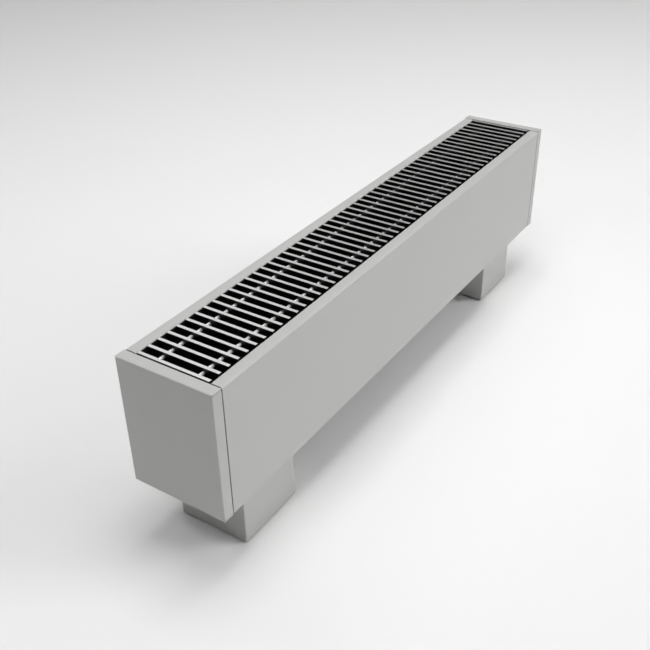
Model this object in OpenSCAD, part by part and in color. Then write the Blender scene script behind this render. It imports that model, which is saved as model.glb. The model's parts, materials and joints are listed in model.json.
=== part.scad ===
// Low electric radiator: a long folded-steel casing on two legs, with a lift-off bar grille on top
// and a finned heating element, its connection box and a safety cut-out inside.
// X runs along the casing, the front panel faces -Y, and Z = 0 is the floor.

/* [Casing] */
// Length of the casing over its end caps
casing_l = 1000; // [760:20:1800]
// Width of the casing, front to back
casing_w = 153; // [140:1:200]
// Height of the casing without the legs
casing_h = 200; // [170:5:300]
// Thickness of the painted sheet steel
sheet_t = 1.5; // [1:0.1:2]
// Depth of the folded end caps
cap_d = 17.5; // [14:0.5:22]
// Open seam between an end cap and the long panels
seam_gap = 1.9; // [0.4:0.1:2.4]
// Width of the top lip beside the grille
lip_w = 17.5; // [14:0.5:22]
// Inside radius of the long top bend
top_bend_r = 1.5; // [0.8:0.1:2.5]
// Inside radius of all other bends in the casing
bend_r = 0.5; // [0.3:0.1:1]

/* [Grille] */
// Distance from one bar to the next
bar_pitch = 18; // [14:0.5:24]
// Width of a bar's top face
bar_w = 5.5; // [4.5:0.1:7]
// Height of a bar
bar_h = 18; // [14:0.5:22]
// Thickness of the top and bottom flanges of a bar
bar_flange_t = 2.2; // [1.6:0.1:3]
// Thickness of the web of a bar
bar_web_t = 2.4; // [1.8:0.1:3]
// Clear gap from a bar's end to the edge strip beside it
bar_end_gap = 1.2; // [0.5:0.1:2]
// Least gap from an outer bar to an end cap
grille_end_gap = 2; // [1:0.1:4]
// Distance between the two cross rods
rod_spacing = 64; // [50:1:80]
// Diameter of a cross rod
rod_d = 3; // [2.4:0.1:3.6]
// Outer diameter of a spacer sleeve
sleeve_d = 5.2; // [4.8:0.1:6.5]
// Depth of the sleeves' top below the bar tops
sleeve_depth = 5.7; // [5:0.1:7]

/* [Legs] */
// Clear height under the casing
leg_h = 100; // [70:5:160]
// Length of a leg along the casing
leg_l = 130; // [120:2:160]
// Set-back of the legs' faces from the panel faces
leg_setback = 19; // [12:0.5:24]
// Distance from the casing's left end to the middle of the left leg
leg_place_left = 125; // [115:5:160]
// Distance from the casing's right end to the middle of the right leg
leg_place_right = 115; // [110:5:160]
// Radius of the wide bends on one side of a leg cover
leg_bend_r = 20; // [8:1:30]
// Radius of the tight bends on the other side
leg_edge_r = 2; // [1.6:0.1:4]
// Thickness of the steel leg frame
frame_t = 3; // [2.5:0.1:4]
// Thickness of the rubber floor pad
pad_t = 2; // [1:0.5:4]
// Spacing of the floor bolts, both ways
floor_bolt_spacing = 70; // [60:1:76]
// Diameter of the floor bolt holes
floor_bolt_d = 9; // [7:0.5:11]
// Diameter of the cable way through the foot
cable_way_d = 30; // [24:1:36]

/* [Heating element] */
// Diameter of the sheathed element
tube_d = 8.5; // [6.5:0.5:10]
// Distance between the two legs of the element
tube_spacing = 36; // [32:1:44]
// Height of the element's axis above the saddles
element_rise = 60.5; // [56:0.5:70]
// Distance from one fin to the next
fin_pitch = 8; // [6:0.5:12]
// Thickness of a fin
fin_t = 0.6; // [0.4:0.1:1]
// Height of a fin
fin_h = 50; // [40:1:60]
// Gap from the fins to the heat shields
fin_side_gap = 8; // [5:0.5:12]
// Gap from a heat shield to its panel
shield_gap = 9; // [8:0.5:12]

/* [Connection box] */
// Length of the box along the casing
box_l = 90; // [84:1:110]
// Gap from the box's feet to the heat shields
box_side_gap = 9.7; // [8:0.1:12]
// Height of the box
box_h = 90; // [82:1:100]
// Thickness of the box's sheet
box_t = 1.2; // [1:0.1:1.6]
// Bore of the cable gland's seal
cable_d = 9; // [7:0.5:10]
// Diameter of the gland's thread
gland_d = 16; // [15:0.5:20]
// Travel of the reset button
reset_travel = 1.5; // [1:0.1:2.5]

/* [Hidden] */

// Facets of full circles, and steps in a quarter bend
$fn = 48;
bend_steps = 6;
// How far a cut runs past the face that it opens
over = 1;

// Casing
half_l = casing_l / 2;
half_w = casing_w / 2;
casing_z = leg_h;
top_z = leg_h + casing_h;
opening_l = casing_l - 2 * cap_d;
opening_w = casing_w - 2 * lip_w;
panel_l = opening_l - 2 * seam_gap;
// Ledge that carries the grille, and the rubber angle on it: its foot, and its edge beside the bars
rest_strip_t = 1;
rest_strip_side_gap = 0.5;
rest_edge_t = 0.8;
ledge_w = 8;
ledge_z = top_z - bar_h - rest_strip_t;
// Open slit under a cap's folded corner, and the relief hole at its end
corner_seam = 0.6;
relief_r = 1;
// Bulkheads, which carry the caps and the ends of the panels
bulkhead_in = 30;
bulkhead_flange = 22;
bulkhead_fit = 0.2;
bulkhead_corner = 6;
tab_edge = 3;
ledge_clear = 1.2;
bulkhead_x = half_l - bulkhead_in;
stud_d = 5;
stud_hole_gap = 0.3;
stud_inset_y = 25;
stud_low = 25;
stud_drop = 45;
stud_past_nut = 1.5;
cap_nut_h = 4.5;
cap_nut_af = 8;
cap_washer_d = 11;
cap_washer_t = 1;
// Screws that hold the panels to the bulkheads from below
panel_screw_d = 3.5;
panel_screw_head_d = 7;
panel_screw_head_h = 1.8;
panel_screw_l = 7;
panel_screw_y = half_w - lip_w;
panel_screw_x = half_l - cap_d - (bulkhead_in - cap_d) / 2;
screw_hole_gap = 0.15;

// Legs
leg_w = casing_w - 2 * leg_setback;
leg_left_x = -half_l + leg_place_left;
leg_right_x = half_l - leg_place_right;
leg_xs = [leg_left_x, leg_right_x];
frame_gap = 1;
frame_bend_r = 2;
frame_flange = 24;
pad_inset = 3;
frame_inset = sheet_t + frame_gap;
frame_l = leg_l - 2 * frame_inset;
frame_w = leg_w - 2 * frame_inset;
leg_bolt_edge = 8;
leg_bolt_d = 6;
leg_bolt_gap = 0.3;
leg_bolt_head_h = 4;
leg_bolt_head_af = 10;
leg_washer_d = 12;
leg_washer_t = 1.2;
leg_nut_h = 5;
leg_bolt_past = 2;
leg_bolt_x = frame_l / 2 - frame_flange / 2;
leg_bolt_y = frame_w / 2 - leg_bolt_edge;
// Turned-in edge under each panel, which the leg bolts clamp
return_edge = 7;
return_w = half_w - leg_bolt_y + return_edge;
// Saddles, which join the panels over each leg
saddle_t = 3;
saddle_lip = 12;
saddle_w = 2 * (leg_bolt_y + leg_washer_d);
saddle_corner_r = 4;
saddle_z = casing_z + sheet_t;
saddle_top = saddle_z + saddle_t;
window_l = frame_l - 2 * frame_flange - 2 * frame_bend_r;
window_w = 60;
window_r = 6;

// Heat shields
shield_t = 0.8;
shield_bend_r = 0.8;
shield_lip = 5;
shield_top_gap = 6;
shield_end_gap = 2;
shield_l = 2 * (bulkhead_x - shield_end_gap);
shield_y = half_w - sheet_t - shield_gap;
shield_foot_gap = 1;
shield_top = ledge_z - sheet_t - shield_top_gap;
rivet_d = 3.2;
rivet_gap = 0.1;
rivet_head_d = 6;
rivet_head_h = 1.1;
rivet_bulb_d = 4.6;
rivet_bulb_h = 1.6;
rivet_count = 6;
rivet_y = half_w - sheet_t - shield_gap / 2;
rivet_end = 40;

// Grille
bar_count = floor((opening_l - 2 * grille_end_gap - bar_w) / bar_pitch) + 1;
bar_l = opening_w - 2 * (rest_edge_t + bar_end_gap);
// The grille lies loose in its opening, a share of its end gap towards the rear
grille_side_share = 0.65;
grille_y = grille_side_share * bar_end_gap;
bar_bottom_w = 4.4;
bar_edge_r = 0.4;
grille_first_x = -(bar_count - 1) * bar_pitch / 2;
grille_last_x = -grille_first_x;
rod_z = top_z - sleeve_depth - sleeve_d / 2;
rod_head_d = 5.4;
rod_head_h = 1.1;
rod_fit = 0.1;
sleeve_fit = 0.2;

// Heating element
element_z = saddle_top + element_rise;
fin_half_w = shield_y - shield_t - fin_side_gap;
fin_corner_r = 5;
fin_collar_t = 0.5;
fin_collar_l = 2;
fin_fit = 0.05;
sensor_d = 6;
sensor_fit = 0.2;
sensor_sink = 1.5;
sensor_l = 100;
fin_top = element_z + fin_h / 2;
sensor_z = fin_top - sensor_sink;
bracket_t = 1.2;
bracket_bend_r = 1;
bracket_foot = 16;
bracket_fit = 0.4;
// A bracket's side lies between the element's hole and the washer of the leg bolt
bracket_hole_y = tube_spacing / 2 + tube_d / 2 + bracket_fit;
bracket_side_share = 0.673;
bracket_w = 2 * (bracket_hole_y + bracket_side_share * (leg_bolt_y - leg_washer_d / 2 - bracket_hole_y));
bracket_top_edge = 12;
bracket_screw_d = 4;
bracket_screw_edge = 13;
bracket_screw_y = bracket_w / 2 - bracket_screw_edge;
bracket_screw_head_d = 7.5;
bracket_screw_head_h = 2.4;
bracket_screw_clear = 0.3;
box_screw_past = 1.5;
bracket_left_x = leg_left_x - window_l / 2 - bracket_foot;
// Room on the right saddle beside the gland, the box's gap and the bracket; the gland has its share
box_gap = 12;
gland_hex_af = 22;
gland_corner = gland_hex_af / 2 / cos(30);
gland_room = leg_l / 2 - saddle_t - frame_bend_r - gland_corner - box_gap - bracket_t - bracket_foot;
gland_room_share = 0.586;
gland_x = leg_right_x;
box_x0 = gland_x - gland_corner - gland_room_share * gland_room;
bracket_right_x = box_x0 - box_gap - bracket_t;
fin_bracket_gap = 10;
fin_left_x = bracket_left_x + bracket_foot + fin_bracket_gap;
fin_right_x = bracket_right_x - bracket_foot - fin_bracket_gap;
fin_count = floor((fin_right_x - fin_left_x) / fin_pitch);
fin_first_x = fin_left_x + (fin_right_x - fin_left_x - (fin_count - 1) * fin_pitch) / 2;
bend_clear = 6;
bend_x = bracket_left_x - bend_clear;

// Connection box
box_stand = 19.5;
box_x1 = box_x0 + box_l;
box_z0 = saddle_top + box_stand;
box_z1 = box_z0 + box_h;
box_corner_r = 2.5;
box_mid_x = (box_x0 + box_x1) / 2;
box_foot_l = 38;
box_foot_w = 14;
box_w = 2 * (shield_y - shield_t - box_side_gap - box_foot_w);
box_foot_x = box_x0 + box_foot_l / 2 + box_t;
box_foot_screw = 20;
lid_lip = 10;
lid_fit = 0.2;
lid_screw_d = 3;
lid_screw_head_d = 5.6;
lid_screw_head_h = 1.8;
lid_screw_l = 8;
lid_screw_down = 5;
bushing_hex_af = 14;
bushing_hex_l = 6;
bushing_thread_d = 12;
bushing_past = 9;
bushing_nut_l = 4;
bushing_fit = 0.05;
hole_fit = 0.2;
tube_past = 2;
insulator_d = 7;
insulator_l = 8;
pin_d = 3;
pin_l = 12;
pin_tab_l = 8;
pin_tab_w = 6.3;
pin_tab_t = 0.8;
tube_end_x = box_x0 + box_t + bushing_past + tube_past;
insulator_end_x = tube_end_x + insulator_l;
pin_end_x = insulator_end_x + pin_l;
block_l = 22;
block_pole = 11;
block_h = 18;
block_wall = 1;
block_w = 3 * block_pole + 2 * block_wall;
block_from_end = 31;
block_x = box_x1 - block_from_end;
block_entry_d = 5;
block_screw_d = 4;
block_screw_head_d = 4.6;
block_screw_down = 4;
block_screw_gap = 0.2;
block_base_t = 4;
block_ridge_t = 1.6;
block_ridge_h = 3;
earth_from_wall = 38;
earth_from_side = 12;
earth_x = box_x0 + earth_from_wall;
earth_y = box_w / 2 - earth_from_side;
earth_d = 5;
earth_l = 15;
earth_nut_af = 8;
earth_nut_h = 4;
earth_washer_d = 10;
earth_washer_t = 1;
earth_nut_gap = 3.5;
gland_wall = 1.6;
gland_hex_l = 5;
gland_neck_l = 9;
gland_locknut_l = 4.5;
gland_cap_l = 13;
gland_cap_d = 21;
gland_seal_l = 8;
gland_fit = 0.15;
gland_face_gap = 0.3;
gland_inside = 6;
cutout_l = 34;
cutout_w = 26;
cutout_h = 22;
cutout_r = 2;
cutout_from_end = 26;
cutout_x = box_x1 - cutout_from_end;
cutout_neck_d = 10;
cutout_neck_up = 8;
cutout_nut_af = 14;
cutout_nut_l = 3;
button_d = 6;
button_fit = 0.2;
button_up = 3.5;
button_dome_r = 0.8;
button_foot_d = 8;
button_foot_t = 2;
button_room = 1;
button_foot_down = 3;
cutout_tab_x = 9;
cutout_tab_l = 7;
cutout_tab_w = 6.3;
cutout_tab_t = 0.8;
cutout_tab_spread = 8;
capillary_d = 1.6;
sensor_left_of_box = 34;
grommet_d = 10;
grommet_drop = 2;
grommet_z = box_z1 - lid_lip - grommet_drop - grommet_d / 2;
grommet_neck_d = 7;
grommet_lip_t = 1.5;
lead_d = 2.4;
lead_sides = 8;
lead_out = 6;
lead_near = 3;
lead_clear = 7;
lead_low = 20;
lead_high = 30;
lead_end_gap = 0.3;
// The earth lead's place between the side of the block and the wall of the box
lead_side_share = 0.5;
lead_side_y = block_w / 2 + lead_side_share * (box_w / 2 - box_t - block_w / 2);

painted = [0.77, 0.77, 0.76];
galvanised = [0.62, 0.64, 0.66];
black_sheet = [0.07, 0.07, 0.07];
aluminium = [0.86, 0.86, 0.87];
zinc = [0.7, 0.71, 0.74];
rubber = [0.09, 0.09, 0.1];
brass = [0.78, 0.63, 0.3];
ceramic = [0.9, 0.88, 0.82];
plastic = [0.16, 0.16, 0.17];

// Geometry helpers

function turned(v, a) = [v[0] * cos(a) - v[1] * sin(a), v[0] * sin(a) + v[1] * cos(a)];
function unit(v) = v / norm(v);
function left_of(v) = [-v[1], v[0]];
// Points of a round corner of radius r at p, where direction d1 turns into d2
function corner_arc(p, d1, d2, r) =
    let (s = sign(d1[0] * d2[1] - d1[1] * d2[0]), a = acos(d1 * d2), reach = r * tan(a / 2),
        c = p - d1 * reach + s * r * left_of(d1))
    [for (i = [0:bend_steps]) c - s * r * turned(left_of(d1), s * a * i / bend_steps)];
// Outline of a folded strip of thickness t whose left face follows the path; radii are inside radii
function fold_outline(path, t, radii) =
    let (n = len(path),
        dirs = [for (i = [0:n - 2]) unit(path[i + 1] - path[i])],
        turns = [for (i = [1:n - 2]) sign(dirs[i - 1][0] * dirs[i][1] - dirs[i - 1][1] * dirs[i][0])],
        left_side = [for (i = [1:n - 2])
            each corner_arc(path[i], dirs[i - 1], dirs[i], radii[i - 1] + (turns[i - 1] > 0 ? 0 : t))],
        right_side = [for (i = [n - 2:-1:1])
            let (q = path[i] - t * (left_of(dirs[i - 1]) + left_of(dirs[i])))
            each corner_arc(q, -dirs[i], -dirs[i - 1], radii[i - 1] + (turns[i - 1] > 0 ? t : 0))])
    concat([path[0]], left_side, [path[n - 1], path[n - 1] - t * left_of(dirs[n - 2])],
        right_side, [path[0] - t * left_of(dirs[0])]);

module along_x(length) rotate([90, 0, 90]) linear_extrude(height = length, center = true) children();
module along_y(length) rotate([90, 0, 0]) linear_extrude(height = length, center = true) children();
module mirrored_y() { children(); mirror([0, 1, 0]) children(); }
module mirrored_x() { children(); mirror([1, 0, 0]) children(); }
module four(x, y) for (sx = [-1, 1], sy = [-1, 1]) translate([sx * x, sy * y]) children();
module hole_z(d, z0, z1) translate([0, 0, z0]) cylinder(d = d, h = z1 - z0);
// Cylinder from x0 to x1 along X
module rod_x(d, x0, x1) translate([x0, 0, 0]) rotate([0, 90, 0]) cylinder(d = d, h = x1 - x0);
module hex(af, h) cylinder(r = af / 2 / cos(30), h = h, $fn = 6);
// Flat rectangle with round corners
module rounded_plate(l, w, r) {
    square([l - 2 * r, w], center = true);
    square([l, w - 2 * r], center = true);
    four(l / 2 - r, w / 2 - r) circle(r = r);
}
// Open box with round upright corners, its floor at z = 0
module open_tray(l, w, h, t, r) difference() {
    linear_extrude(height = h) rounded_plate(l, w, r);
    translate([0, 0, t]) linear_extrude(height = h) rounded_plate(l - 2 * t, w - 2 * t, r - t);
}
module at_legs() for (x = leg_xs) translate([x, 0, 0]) children();

// Smooth tube through a list of points, for the leads and the sensor's capillary
tube_steps = 5;
function spline_point(a, b, c, d, u) = ((2 * b) + (c - a) * u + (2 * a - 5 * b + 4 * c - d) * u * u
    + (3 * b - a - 3 * c + d) * u * u * u) / 2;
function smooth_route(p) = let (n = len(p)) concat(
    [for (i = [0:n - 2], k = [0:tube_steps - 1])
        spline_point(p[max(i - 1, 0)], p[i], p[i + 1], p[min(i + 2, n - 1)], k / tube_steps)], [p[n - 1]]);
function route_dirs(p) = let (n = len(p)) [for (i = [0:n - 1]) unit(p[min(i + 1, n - 1)] - p[max(i - 1, 0)])];
function across(v, d) = unit(v - (v * d) * d);
function route_sides(dirs, i, v) = let (s = across(v, dirs[i]))
    i == len(dirs) - 1 ? [s] : concat([s], route_sides(dirs, i + 1, s));
module tube_along(points, d) {
    route = smooth_route(points);
    dirs = route_dirs(route);
    start = abs(dirs[0][2]) < 0.8 ? [0, 0, 1] : [0, 1, 0];
    sides = route_sides(dirs, 0, start);
    rings = len(route);
    ring_points = [for (i = [0:rings - 1], k = [0:lead_sides - 1])
        let (a = 360 * k / lead_sides)
        route[i] + d / 2 * (cos(a) * sides[i] + sin(a) * cross(dirs[i], sides[i]))];
    walls = [for (i = [0:rings - 2], k = [0:lead_sides - 1])
        let (k2 = (k + 1) % lead_sides, a = i * lead_sides, b = a + lead_sides)
        each [[a + k, b + k2, a + k2], [a + k, b + k, b + k2]]];
    last = (rings - 1) * lead_sides;
    ends = [for (k = [1:lead_sides - 2]) each [[0, k, k + 1], [last, last + k + 1, last + k]]];
    polyhedron(points = ring_points, faces = concat(walls, ends));
}

// Long panels

// Section of the front panel: turned-in edge, face, lip, inner flange and grille ledge
panel_path = [[-half_w + return_w, casing_z], [-half_w, casing_z], [-half_w, top_z],
    [-half_w + lip_w, top_z], [-half_w + lip_w, ledge_z], [-half_w + lip_w + ledge_w, ledge_z]];
panel_radii = [bend_r, top_bend_r, bend_r, bend_r];

module rivet_places() for (i = [0:rivet_count - 1])
    translate([(i / (rivet_count - 1) - 1 / 2) * (shield_l - 2 * rivet_end), -rivet_y, 0]) children();
module panel_screw_places() for (sx = [-1, 1]) translate([sx * panel_screw_x, -panel_screw_y, 0]) children();
module leg_bolt_places() at_legs() four(leg_bolt_x, leg_bolt_y) children();

module long_panel() {
    z0 = casing_z - over;
    z1 = casing_z + sheet_t + over;
    difference() {
        along_x(panel_l) polygon(fold_outline(panel_path, sheet_t, panel_radii));
        rivet_places() hole_z(rivet_d + 2 * rivet_gap, z0, z1);
        panel_screw_places() hole_z(panel_screw_d + 2 * screw_hole_gap, z0, z1);
        leg_bolt_places() hole_z(leg_bolt_d + 2 * leg_bolt_gap, z0, z1);
        box_foot_places() hole_z(bracket_screw_d + 2 * screw_hole_gap, z0, z1);
    }
}
module front_panel() color(painted) long_panel();
module rear_panel() color(painted) mirror([0, 1, 0]) long_panel();

// End caps

stud_places = [[half_w - stud_inset_y, casing_z + stud_low], [half_w - stud_inset_y, top_z - stud_drop]];
module stud_positions() for (p = stud_places, s = [-1, 1]) translate([0, s * p[0], p[1]]) children();

// Outline of a block whose bends match the outside of a strip folded along the path
function bent_block(path, r) = let (n = len(path), dirs = [for (i = [0:n - 2]) unit(path[i + 1] - path[i])])
    concat([path[0]], [for (i = [1:n - 2]) each corner_arc(path[i], dirs[i - 1], dirs[i], r)], [path[n - 1]]);

// Slit that parts a cap's side from its top, up to the relief hole, and the same at the bottom
module corner_slits(inner_x) {
    slit_x = -half_l + sheet_t + relief_r;
    depth = sheet_t + 2 * over;
    for (z = [casing_z + sheet_t, top_z - sheet_t - corner_seam]) mirrored_y()
        translate([0, half_w - sheet_t - over, z]) {
            translate([slit_x, 0, 0]) cube([inner_x - slit_x + over, depth, corner_seam]);
            for (x = [slit_x, inner_x]) translate([x, 0, corner_seam / 2])
                rotate([-90, 0, 0]) cylinder(r = relief_r, h = depth);
        }
}

// Cap for the left end; the other end is its mirror image
module end_cap() {
    inner_x = -half_l + cap_d;
    edge_r = bend_r + sheet_t;
    upright = [[inner_x, casing_z], [-half_l, casing_z], [-half_l, top_z], [inner_x, top_z]];
    lipped = concat(upright, [[inner_x, ledge_z]]);
    level = [[inner_x, -half_w], [-half_l, -half_w], [-half_l, half_w], [inner_x, half_w]];
    difference() {
        union() {
            intersection() {
                along_y(casing_w) polygon(fold_outline(upright, sheet_t, [bend_r, bend_r]));
                linear_extrude(height = top_z) polygon(bent_block(level, edge_r));
            }
            along_y(opening_w) polygon(fold_outline(lipped, sheet_t, [bend_r, bend_r, bend_r]));
            intersection() {
                linear_extrude(height = top_z) polygon(fold_outline(level, sheet_t, [bend_r, bend_r]));
                along_y(casing_w) polygon(bent_block(upright, edge_r));
            }
        }
        corner_slits(inner_x);
    }
    stud_positions() rod_x(stud_d, -half_l + sheet_t / 2,
        -bulkhead_x + cap_washer_t + cap_nut_h + stud_past_nut);
}
module end_cap_left() color(painted) end_cap();
module end_cap_right() color(painted) mirror([1, 0, 0]) end_cap();

// Bulkheads

module bulkhead() {
    face_y = half_w - sheet_t - bulkhead_fit;
    low_z = casing_z + sheet_t;
    high_z = top_z - sheet_t - bulkhead_fit;
    open_x = -bulkhead_x - bulkhead_flange;
    inner = half_w - lip_w + sheet_t + ledge_clear;
    outer = face_y - tab_edge;
    sides = [[open_x, face_y], [-bulkhead_x, face_y], [-bulkhead_x, -face_y], [open_x, -face_y]];
    foot = [[-bulkhead_x, element_z], [-bulkhead_x, low_z], [open_x, low_z]];
    tab = [[open_x, high_z], [-bulkhead_x, high_z], [-bulkhead_x, ledge_z]];
    difference() {
        union() {
            translate([0, 0, low_z + bulkhead_corner])
                linear_extrude(height = high_z - low_z - 2 * bulkhead_corner)
                polygon(fold_outline(sides, sheet_t, [bend_r, bend_r]));
            along_y(2 * (face_y - bulkhead_corner)) polygon(fold_outline(foot, sheet_t, [bend_r]));
            mirrored_y() translate([0, (inner + outer) / 2, 0]) along_y(outer - inner)
                polygon(fold_outline(tab, sheet_t, [bend_r]));
        }
        translate([-bulkhead_x - sheet_t - over, -inner, ledge_z - sheet_t - ledge_clear])
            cube([sheet_t + 2 * over, 2 * inner, casing_h]);
        stud_positions() rod_x(stud_d + 2 * stud_hole_gap, -bulkhead_x - sheet_t - over, -bulkhead_x + over);
        mirrored_y() translate([-panel_screw_x, panel_screw_y, 0])
            hole_z(panel_screw_d + 2 * screw_hole_gap, low_z - over, low_z + sheet_t + over);
    }
}
module bulkhead_left() color(black_sheet) bulkhead();
module bulkhead_right() color(black_sheet) mirror([1, 0, 0]) bulkhead();

// Flange nuts on the caps' welded studs
module cap_nuts() color(zinc) mirrored_x() stud_positions() translate([-bulkhead_x, 0, 0])
    rotate([0, 90, 0]) difference() {
        union() {
            cylinder(d = cap_washer_d, h = cap_washer_t);
            hex(cap_nut_af, cap_washer_t + cap_nut_h);
        }
        hole_z(stud_d + 2 * rod_fit, -over, cap_nut_h + cap_washer_t + over);
    }

module panel_screw() rotate_extrude() polygon([[0, casing_z - panel_screw_head_h],
    [panel_screw_head_d / 2, casing_z - panel_screw_head_h], [panel_screw_head_d / 2, casing_z],
    [panel_screw_d / 2, casing_z], [panel_screw_d / 2, casing_z + panel_screw_l], [0, casing_z + panel_screw_l]]);
module panel_screws() color(zinc) mirrored_y() panel_screw_places() panel_screw();

// Saddles and legs

module screw_holes(x, ys) for (y = ys) translate([x, y, 0])
    hole_z(bracket_screw_d + 2 * screw_hole_gap, saddle_z - over, saddle_top + over);
module box_foot_places() for (sx = [-1, 1], sy = [-1, 1])
    translate([box_foot_x + sx * box_foot_screw / 2, sy * (box_w + box_foot_w) / 2, 0]) children();

module saddle(x) {
    half = leg_l / 2;
    path = [[half, saddle_lip], [half, 0], [-half, 0], [-half, saddle_lip]];
    difference() {
        translate([x, 0, saddle_z]) intersection() {
            along_y(saddle_w) polygon(fold_outline(path, saddle_t, [frame_bend_r, frame_bend_r]));
            linear_extrude(height = saddle_lip) rounded_plate(leg_l, saddle_w, saddle_corner_r);
        }
        translate([x, 0, saddle_z - over]) linear_extrude(height = saddle_t + 2 * over)
            rounded_plate(window_l, window_w, window_r);
        leg_bolt_places() hole_z(leg_bolt_d + 2 * leg_bolt_gap, saddle_z - over, saddle_top + over);
        screw_holes(bracket_left_x + bracket_foot / 2, [-bracket_screw_y, bracket_screw_y]);
        screw_holes(bracket_right_x - bracket_foot / 2, [-bracket_screw_y, bracket_screw_y]);
        box_foot_places() hole_z(bracket_screw_d + 2 * screw_hole_gap, saddle_z - over, saddle_top + over);
    }
}
module saddle_left() color(galvanised) saddle(leg_left_x);
module saddle_right() color(galvanised) saddle(leg_right_x);

// Plan of a leg, taken in by a margin: tight bends on its left side and wide ones on its right
module leg_plan(margin) {
    l = leg_l - 2 * margin;
    w = leg_w - 2 * margin;
    wide = leg_bend_r - margin;
    tight = max(leg_edge_r - margin, bend_r);
    translate([(tight - wide) / 2, 0]) square([l - tight - wide, w], center = true);
    for (s = [-1, 1]) {
        translate([l / 2 - wide, s * (w / 2 - wide)]) circle(r = wide);
        translate([-l / 2 + tight, s * (w / 2 - tight)]) circle(r = tight);
    }
    translate([l / 2 - wide / 2, 0]) square([wide, w - 2 * wide], center = true);
    translate([-l / 2 + tight / 2, 0]) square([tight, w - 2 * tight], center = true);
}

module leg_cover(x) translate([x, 0, pad_t]) linear_extrude(height = leg_h - pad_t) difference() {
    leg_plan(0);
    leg_plan(sheet_t);
}
module leg_cover_left() color(painted) leg_cover(leg_left_x);
module leg_cover_right() color(painted) leg_cover(leg_right_x);

module foot_holes(z0, z1) {
    four(floor_bolt_spacing / 2, floor_bolt_spacing / 2) hole_z(floor_bolt_d, z0, z1);
    hole_z(cable_way_d, z0, z1);
}

// Frame folded from one strip: base, two uprights and two flanges under the casing
module leg_frame(x) {
    half = frame_l / 2;
    path = [[half - frame_flange, leg_h], [half, leg_h], [half, pad_t], [-half, pad_t],
        [-half, leg_h], [-half + frame_flange, leg_h]];
    translate([x, 0, 0]) difference() {
        intersection() {
            along_y(frame_w) polygon(fold_outline(path, frame_t,
                [frame_bend_r, frame_bend_r, frame_bend_r, frame_bend_r]));
            linear_extrude(height = leg_h) leg_plan(frame_inset);
        }
        foot_holes(pad_t - over, pad_t + frame_t + over);
        four(leg_bolt_x, leg_bolt_y) hole_z(leg_bolt_d + 2 * leg_bolt_gap, leg_h - frame_t - over, leg_h + over);
    }
}
module leg_frame_left() color(galvanised) leg_frame(leg_left_x);
module leg_frame_right() color(galvanised) leg_frame(leg_right_x);

module floor_pad(x) translate([x, 0, 0]) difference() {
    linear_extrude(height = pad_t) leg_plan(pad_inset);
    foot_holes(-over, pad_t + over);
}
module floor_pad_left() color(rubber) floor_pad(leg_left_x);
module floor_pad_right() color(rubber) floor_pad(leg_right_x);

leg_nut_z = leg_h - frame_t - leg_nut_h;
module leg_bolts() color(zinc) leg_bolt_places() {
    hole_z(leg_bolt_d, leg_nut_z - leg_bolt_past, saddle_top + leg_washer_t);
    translate([0, 0, saddle_top]) cylinder(d = leg_washer_d, h = leg_washer_t);
    translate([0, 0, saddle_top + leg_washer_t]) hex(leg_bolt_head_af, leg_bolt_head_h);
}
module leg_nuts() color(zinc) leg_bolt_places() translate([0, 0, leg_nut_z]) difference() {
    hex(leg_bolt_head_af, leg_nut_h);
    hole_z(leg_bolt_d + 2 * rod_fit, -over, leg_nut_h + over);
}

// Heat shields

module heat_shield() {
    foot_z = casing_z + sheet_t + shield_t;
    path = [[-half_w + sheet_t + shield_foot_gap, foot_z], [-shield_y, foot_z],
        [-shield_y, shield_top], [-shield_y - shield_lip, shield_top]];
    difference() {
        along_x(shield_l) polygon(fold_outline(path, shield_t, [shield_bend_r, shield_bend_r]));
        rivet_places() hole_z(rivet_d + 2 * rivet_gap, casing_z, foot_z + over);
    }
}
module heat_shield_front() color(black_sheet) heat_shield();
module heat_shield_rear() color(black_sheet) mirror([0, 1, 0]) heat_shield();

module shield_rivet() {
    bulb_z = casing_z + sheet_t + shield_t;
    rotate_extrude() polygon([[0, casing_z - rivet_head_h], [rivet_head_d / 4, casing_z - rivet_head_h],
        [rivet_head_d / 2, casing_z - rivet_head_h / 4], [rivet_head_d / 2, casing_z],
        [rivet_d / 2, casing_z], [rivet_d / 2, bulb_z], [rivet_bulb_d / 2, bulb_z],
        [rivet_bulb_d / 2, bulb_z + rivet_bulb_h / 2], [rivet_d / 2, bulb_z + rivet_bulb_h],
        [0, bulb_z + rivet_bulb_h]]);
}
module shield_rivets() color(zinc) mirrored_y() rivet_places() shield_rivet();

// Grille

// Rubber angle in the corner of the ledge and the inner flange, which keeps the bars from rattling
module rest_strip() {
    y0 = -half_w + lip_w;
    y1 = y0 + ledge_w - rest_strip_side_gap;
    edge_z = top_z - bend_r - sheet_t;
    foot_z = ledge_z + rest_strip_t;
    along_x(panel_l) polygon([[y0 + bend_r, ledge_z], [y1, ledge_z], [y1, foot_z],
        [y0 + rest_edge_t, foot_z], [y0 + rest_edge_t, edge_z], [y0, edge_z], [y0, ledge_z + bend_r]]);
}
module rest_strip_front() color(rubber) rest_strip();
module rest_strip_rear() color(rubber) mirror([0, 1, 0]) rest_strip();

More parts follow.
